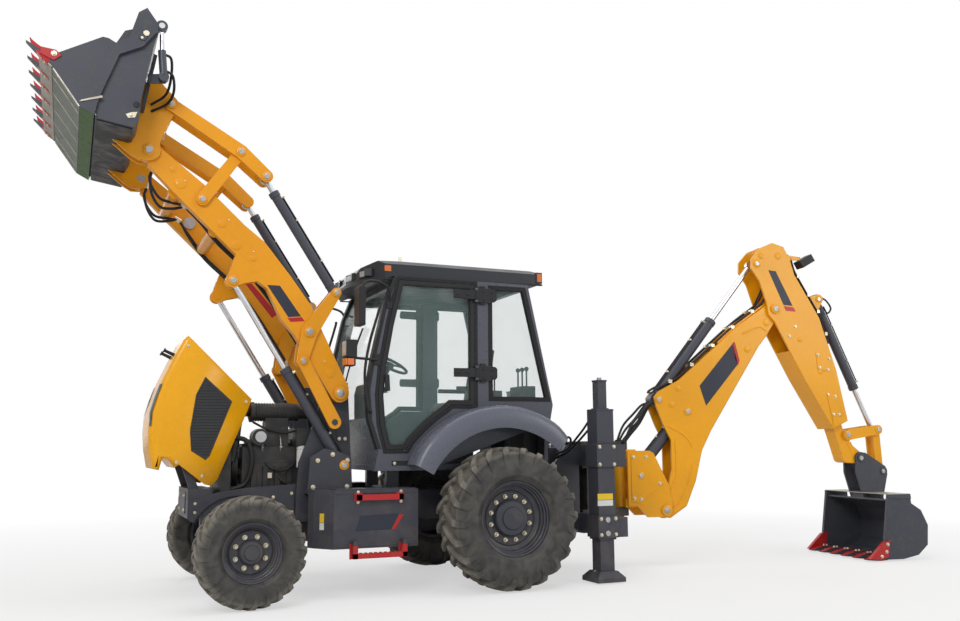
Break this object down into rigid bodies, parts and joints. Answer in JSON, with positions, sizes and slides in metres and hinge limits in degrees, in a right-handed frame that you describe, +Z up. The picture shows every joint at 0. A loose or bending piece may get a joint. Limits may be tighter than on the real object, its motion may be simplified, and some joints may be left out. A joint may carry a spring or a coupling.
{
  "type": "backhoe loader",
  "caption": "Backhoe loader with a raised multi-purpose loader bucket, open bonnet, glazed cab, stabilisers and an extending backhoe swung to its left.",
  "frame": {"origin": "on the ground midway between the rear wheels, under the rear axle", "axes": "+X forward towards the loader bucket, +Y to the machine's left, +Z up"},
  "size_m": [9.8085, 2.6, 5.0947],
  "materials": {
    "yellow_paint": "satin",
    "grey_paint": "satin",
    "black_paint": "satin",
    "red_paint": "satin",
    "steel": "brushed",
    "chrome_rod": "polished",
    "rubber": "matte",
    "glass": "clear",
    "plastic": "matte",
    "seat_fabric": "woven",
    "engine_iron": "matte"
  },
  "bodies": {
    "chassis": {"chassis_frame": "grey_paint", "engine": "engine_iron", "side_tanks": "grey_paint", "cab_frame": "grey_paint", "cab_roof": "grey_paint", "cab_glass": "glass", "rear_fenders": "grey_paint", "seat": "seat_fabric", "console": "plastic", "lamps_mirrors": "plastic", "front_axle": "black_paint", "rear_axle": "black_paint", "stabilizer_frame": "grey_paint"},
    "knuckle_left": {"knuckle_left": "black_paint"},
    "knuckle_right": {"knuckle_right": "black_paint"},
    "bonnet": {"hood": "yellow_paint"},
    "door_left": {"door_left": "grey_paint", "door_glass_left": "glass"},
    "door_right": {"door_right": "grey_paint", "door_glass_right": "glass"},
    "stabilizer_left": {"stabilizer_leg_left": "grey_paint"},
    "stabilizer_right": {"stabilizer_leg_right": "grey_paint"},
    "loader_arms": {"loader_arms": "yellow_paint"},
    "head_pins": {"head_pins": "steel"},
    "guide_pins": {"guide_pins": "steel"},
    "link_pins": {"link_pins": "steel"},
    "ram_pins": {"ram_pins": "steel"},
    "lift_tubes": {"lift_tubes": "grey_paint"},
    "lift_rods": {"lift_rods": "chrome_rod"},
    "level_levers": {"level_levers": "yellow_paint"},
    "level_links": {"level_links": "yellow_paint"},
    "guide_struts": {"guide_struts": "yellow_paint"},
    "tilt_links": {"tilt_links": "yellow_paint"},
    "tilt_tubes": {"tilt_tubes": "grey_paint"},
    "tilt_rods": {"tilt_rods": "chrome_rod"},
    "loader_bucket": {"loader_coupler": "yellow_paint", "loader_bucket": "grey_paint"},
    "bucket_jaw": {"bucket_jaw": "grey_paint"},
    "carriage": {"carriage": "black_paint"},
    "kingpost": {"kingpost": "yellow_paint"},
    "boom": {"boom": "yellow_paint"},
    "boom_ram_tube": {"boom_ram_tube": "grey_paint"},
    "boom_ram_rod": {"boom_ram_rod": "chrome_rod"},
    "dipper": {"dipper": "yellow_paint"},
    "dipper_ram_tube": {"dipper_ram_tube": "grey_paint"},
    "dipper_ram_rod": {"dipper_ram_rod": "chrome_rod"},
    "stick": {"stick": "yellow_paint"},
    "bucket_ram_tube": {"bucket_ram_tube": "grey_paint"},
    "bucket_ram_rod": {"bucket_ram_rod": "chrome_rod"},
    "tip_lever": {"tip_lever": "yellow_paint"},
    "tip_link": {"tip_link": "yellow_paint"},
    "backhoe_bucket": {"backhoe_bucket": "grey_paint"},
    "wheel_front_left": {"tyre_front_left": "rubber", "rim_front_left": "grey_paint"},
    "wheel_front_right": {"tyre_front_right": "rubber", "rim_front_right": "grey_paint"},
    "wheel_rear_left": {"tyre_rear_left": "rubber", "rim_rear_left": "grey_paint"},
    "wheel_rear_right": {"tyre_rear_right": "rubber", "rim_rear_right": "grey_paint"}
  },
  "joints": [
    {"name": "steer_left", "type": "hinge", "parent": "chassis", "child": "knuckle_left", "pos_m": [2.379, 0.86, 0.4605], "axis": [0, 0, 1], "range_deg": [-33, 33]},
    {"name": "steer_right", "type": "hinge", "parent": "chassis", "child": "knuckle_right", "pos_m": [2.379, -0.86, 0.4605], "axis": [0, 0, 1], "range_deg": [-34, 34]},
    {"name": "front_wheel_left", "type": "hinge", "parent": "knuckle_left", "child": "wheel_front_left", "pos_m": [2.379, 1.06, 0.4605], "axis": [0, 1, 0], "continuous": true},
    {"name": "front_wheel_right", "type": "hinge", "parent": "knuckle_right", "child": "wheel_front_right", "pos_m": [2.379, -1.06, 0.4605], "axis": [0, 1, 0], "continuous": true},
    {"name": "rear_wheel_left", "type": "hinge", "parent": "chassis", "child": "wheel_rear_left", "pos_m": [0, 1.06, 0.657], "axis": [0, 1, 0], "continuous": true},
    {"name": "rear_wheel_right", "type": "hinge", "parent": "chassis", "child": "wheel_rear_right", "pos_m": [0, -1.06, 0.657], "axis": [0, 1, 0], "continuous": true},
    {"name": "bonnet_hinge", "type": "hinge", "parent": "chassis", "child": "bonnet", "pos_m": [2.85, 0, 1.18], "axis": [0, 1, 0], "range_deg": [-48, 0]},
    {"name": "door_hinge_left", "type": "hinge", "parent": "chassis", "child": "door_left", "pos_m": [0.19, 0.8, 2.4], "axis": [0, 0, 1], "range_deg": [0, 100]},
    {"name": "door_hinge_right", "type": "hinge", "parent": "chassis", "child": "door_right", "pos_m": [0.19, -0.8, 2.4], "axis": [0, 0, -1], "range_deg": [0, 100]},
    {"name": "stabilizer_left_slide", "type": "slide", "parent": "chassis", "child": "stabilizer_left", "axis": [0, 0, 1], "range_m": [-0.1, 0.27]},
    {"name": "stabilizer_right_slide", "type": "slide", "parent": "chassis", "child": "stabilizer_right", "axis": [0, 0, 1], "range_m": [-0.1, 0.27]},
    {"name": "loader_lift", "type": "hinge", "parent": "chassis", "child": "loader_arms", "pos_m": [1.488, 0, 1.826], "axis": [0, -1, 0], "range_deg": [-84, 1]},
    {"name": "lift_hold_head", "type": "hinge", "parent": "loader_arms", "child": "head_pins", "pos_m": [3.284, 0, 3.977], "axis": [0, -1, 0], "range_deg": [-2, 85]},
    {"name": "bucket_tilt", "type": "hinge", "parent": "head_pins", "child": "loader_bucket", "pos_m": [3.284, 0, 3.977], "axis": [0, 1, 0], "range_deg": [0, 105]},
    {"name": "bucket_jaw_hinge", "type": "hinge", "parent": "loader_bucket", "child": "bucket_jaw", "pos_m": [3.405, 0, 4.823], "axis": [0, -1, 0], "range_deg": [0, 55]},
    {"name": "level_lever_hinge", "type": "hinge", "parent": "loader_arms", "child": "level_levers", "pos_m": [1.796, 0, 2.392], "axis": [0, -1, 0], "range_deg": [-2, 85]},
    {"name": "level_link_hinge", "type": "hinge", "parent": "chassis", "child": "level_links", "pos_m": [1.549, 0, 1.551], "axis": [0, -1, 0], "range_deg": [-85, 2]},
    {"name": "guide_pin_hinge", "type": "hinge", "parent": "loader_arms", "child": "guide_pins", "pos_m": [2.804, 0, 3.568], "axis": [0, -1, 0], "range_deg": [-1.85, 72.29]},
    {"name": "guide_strut_hinge", "type": "hinge", "parent": "guide_pins", "child": "guide_struts", "pos_m": [2.804, 0, 3.568], "axis": [0, 1, 0], "range_deg": [0, 65.36]},
    {"name": "link_pin_hinge", "type": "hinge", "parent": "loader_bucket", "child": "link_pins", "pos_m": [3.112, 0, 4.415], "axis": [0, -1, 0], "range_deg": [-76.89, 1.9]},
    {"name": "tilt_link_hinge", "type": "hinge", "parent": "link_pins", "child": "tilt_links", "pos_m": [3.112, 0, 4.415], "axis": [0, 1, 0], "range_deg": [-75.8, 0]},
    {"name": "ram_pin_hinge", "type": "hinge", "parent": "level_levers", "child": "ram_pins", "pos_m": [1.543, 0, 2.778], "axis": [0, -1, 0], "range_deg": [-85.38, 2]},
    {"name": "tilt_tube_hinge", "type": "hinge", "parent": "ram_pins", "child": "tilt_tubes", "pos_m": [1.543, 0, 2.778], "axis": [0, 1, 0], "range_deg": [0, 11.77]},
    {"name": "tilt_rod_slide", "type": "slide", "parent": "tilt_tubes", "child": "tilt_rods", "axis": [0.5463, 0, 0.8376], "range_m": [0, 0.54752]},
    {"name": "lift_tube_hinge", "type": "hinge", "parent": "chassis", "child": "lift_tubes", "pos_m": [1.45, 0, 1.155], "axis": [0, -1, 0], "range_deg": [-66.78, 1.78]},
    {"name": "lift_rod_slide", "type": "slide", "parent": "lift_tubes", "child": "lift_rods", "axis": [0.5301, 0, 0.8479], "range_m": [-0.76328, 0.01897]},
    {"name": "side_shift", "type": "slide", "parent": "chassis", "child": "carriage", "axis": [0, 1, 0], "range_m": [-0.45, 0.45]},
    {"name": "backhoe_swing", "type": "hinge", "parent": "carriage", "child": "kingpost", "pos_m": [-1.9, 0, 0.95], "axis": [0, 0, 1], "range_deg": [-81, 99]},
    {"name": "boom_hinge", "type": "hinge", "parent": "kingpost", "child": "boom", "pos_m": [-2.36421, 0.07352, 0.602], "axis": [0.1564, 0.9877, 0], "range_deg": [-55, 12]},
    {"name": "boom_ram_hinge", "type": "hinge", "parent": "kingpost", "child": "boom_ram_tube", "pos_m": [-2.07285, 0.02738, 0.985], "axis": [0.1564, 0.9877, 0], "range_deg": [-52.66, 12.27]},
    {"name": "boom_ram_slide", "type": "slide", "parent": "boom_ram_tube", "child": "boom_ram_rod", "axis": [-0.6559, 0.1039, 0.7477], "range_m": [-0.10737, 0.45626]},
    {"name": "dipper_hinge", "type": "hinge", "parent": "boom", "child": "dipper", "pos_m": [-3.86352, 0.31099, 2.92], "axis": [-0.1564, -0.9877, 0], "range_deg": [-85, 25]},
    {"name": "dipper_ram_hinge", "type": "hinge", "parent": "boom", "child": "dipper_ram_tube", "pos_m": [-2.3494, 0.07118, 1.835], "axis": [0.1564, 0.9877, 0], "range_deg": [-2.78, 1.52]},
    {"name": "dipper_ram_slide", "type": "slide", "parent": "dipper_ram_tube", "child": "dipper_ram_rod", "axis": [-0.6217, 0.0985, 0.7771], "range_m": [-0.80655, 0.24428]},
    {"name": "stick_slide", "type": "slide", "parent": "dipper", "child": "stick", "axis": [0.2865, -0.0454, 0.957], "range_m": [-1, 0]},
    {"name": "backhoe_bucket_hinge", "type": "hinge", "parent": "stick", "child": "backhoe_bucket", "pos_m": [-4.92628, 0.47931, 1.152], "axis": [-0.1564, -0.9877, 0], "range_deg": [-80, 60]},
    {"name": "tip_lever_hinge", "type": "hinge", "parent": "stick", "child": "tip_lever", "pos_m": [-4.76825, 0.45429, 1.426], "axis": [0.1564, 0.9877, 0], "range_deg": [-43.81, 58.08]},
    {"name": "tip_link_hinge", "type": "hinge", "parent": "backhoe_bucket", "child": "tip_link", "pos_m": [-5.21666, 0.52531, 0.994], "axis": [0.1564, 0.9877, 0], "range_deg": [-50.05, 37.79]},
    {"name": "bucket_ram_hinge", "type": "hinge", "parent": "stick", "child": "bucket_ram_tube", "pos_m": [-4.51145, 0.41361, 3.073], "axis": [0.1564, 0.9877, 0], "range_deg": [-1.89, 1.67]},
    {"name": "bucket_ram_slide", "type": "slide", "parent": "bucket_ram_tube", "child": "bucket_ram_rod", "axis": [-0.3951, 0.0626, -0.9165], "range_m": [-0.41282, 0.31212]}
  ],
  "couplings": [
    {"joint": "steer_right", "follows": "steer_left", "ratio": 1},
    {"joint": "lift_hold_head", "follows": "loader_lift", "ratio": -1},
    {"joint": "level_lever_hinge", "follows": "loader_lift", "ratio": -1},
    {"joint": "level_link_hinge", "follows": "loader_lift", "ratio": 1},
    {"joint": "guide_pin_hinge", "follows": "loader_lift", "ratio": -0.84868},
    {"joint": "guide_strut_hinge", "follows": "bucket_tilt", "ratio": 0.61296},
    {"joint": "link_pin_hinge", "follows": "loader_lift", "ratio": 0.9035},
    {"joint": "tilt_link_hinge", "follows": "bucket_tilt", "ratio": -0.71236},
    {"joint": "ram_pin_hinge", "follows": "loader_lift", "ratio": 1.0045},
    {"joint": "tilt_tube_hinge", "follows": "bucket_tilt", "ratio": 0.10261},
    {"joint": "tilt_rod_slide", "follows": "bucket_tilt", "m_per_rad": 0.29331},
    {"joint": "lift_tube_hinge", "follows": "loader_lift", "ratio": 0.78308},
    {"joint": "lift_rod_slide", "follows": "loader_lift", "m_per_rad": 0.51381},
    {"joint": "boom_ram_hinge", "follows": "boom_hinge", "ratio": 0.93928},
    {"joint": "boom_ram_slide", "follows": "boom_hinge", "m_per_rad": -0.46489},
    {"joint": "dipper_ram_hinge", "follows": "dipper_hinge", "ratio": 0.02096},
    {"joint": "dipper_ram_slide", "follows": "dipper_hinge", "m_per_rad": 0.53693},
    {"joint": "tip_lever_hinge", "follows": "backhoe_bucket_hinge", "ratio": -0.71352},
    {"joint": "tip_link_hinge", "follows": "backhoe_bucket_hinge", "ratio": 0.61312},
    {"joint": "bucket_ram_hinge", "follows": "backhoe_bucket_hinge", "ratio": 0.01114},
    {"joint": "bucket_ram_slide", "follows": "backhoe_bucket_hinge", "m_per_rad": 0.2885}
  ]
}
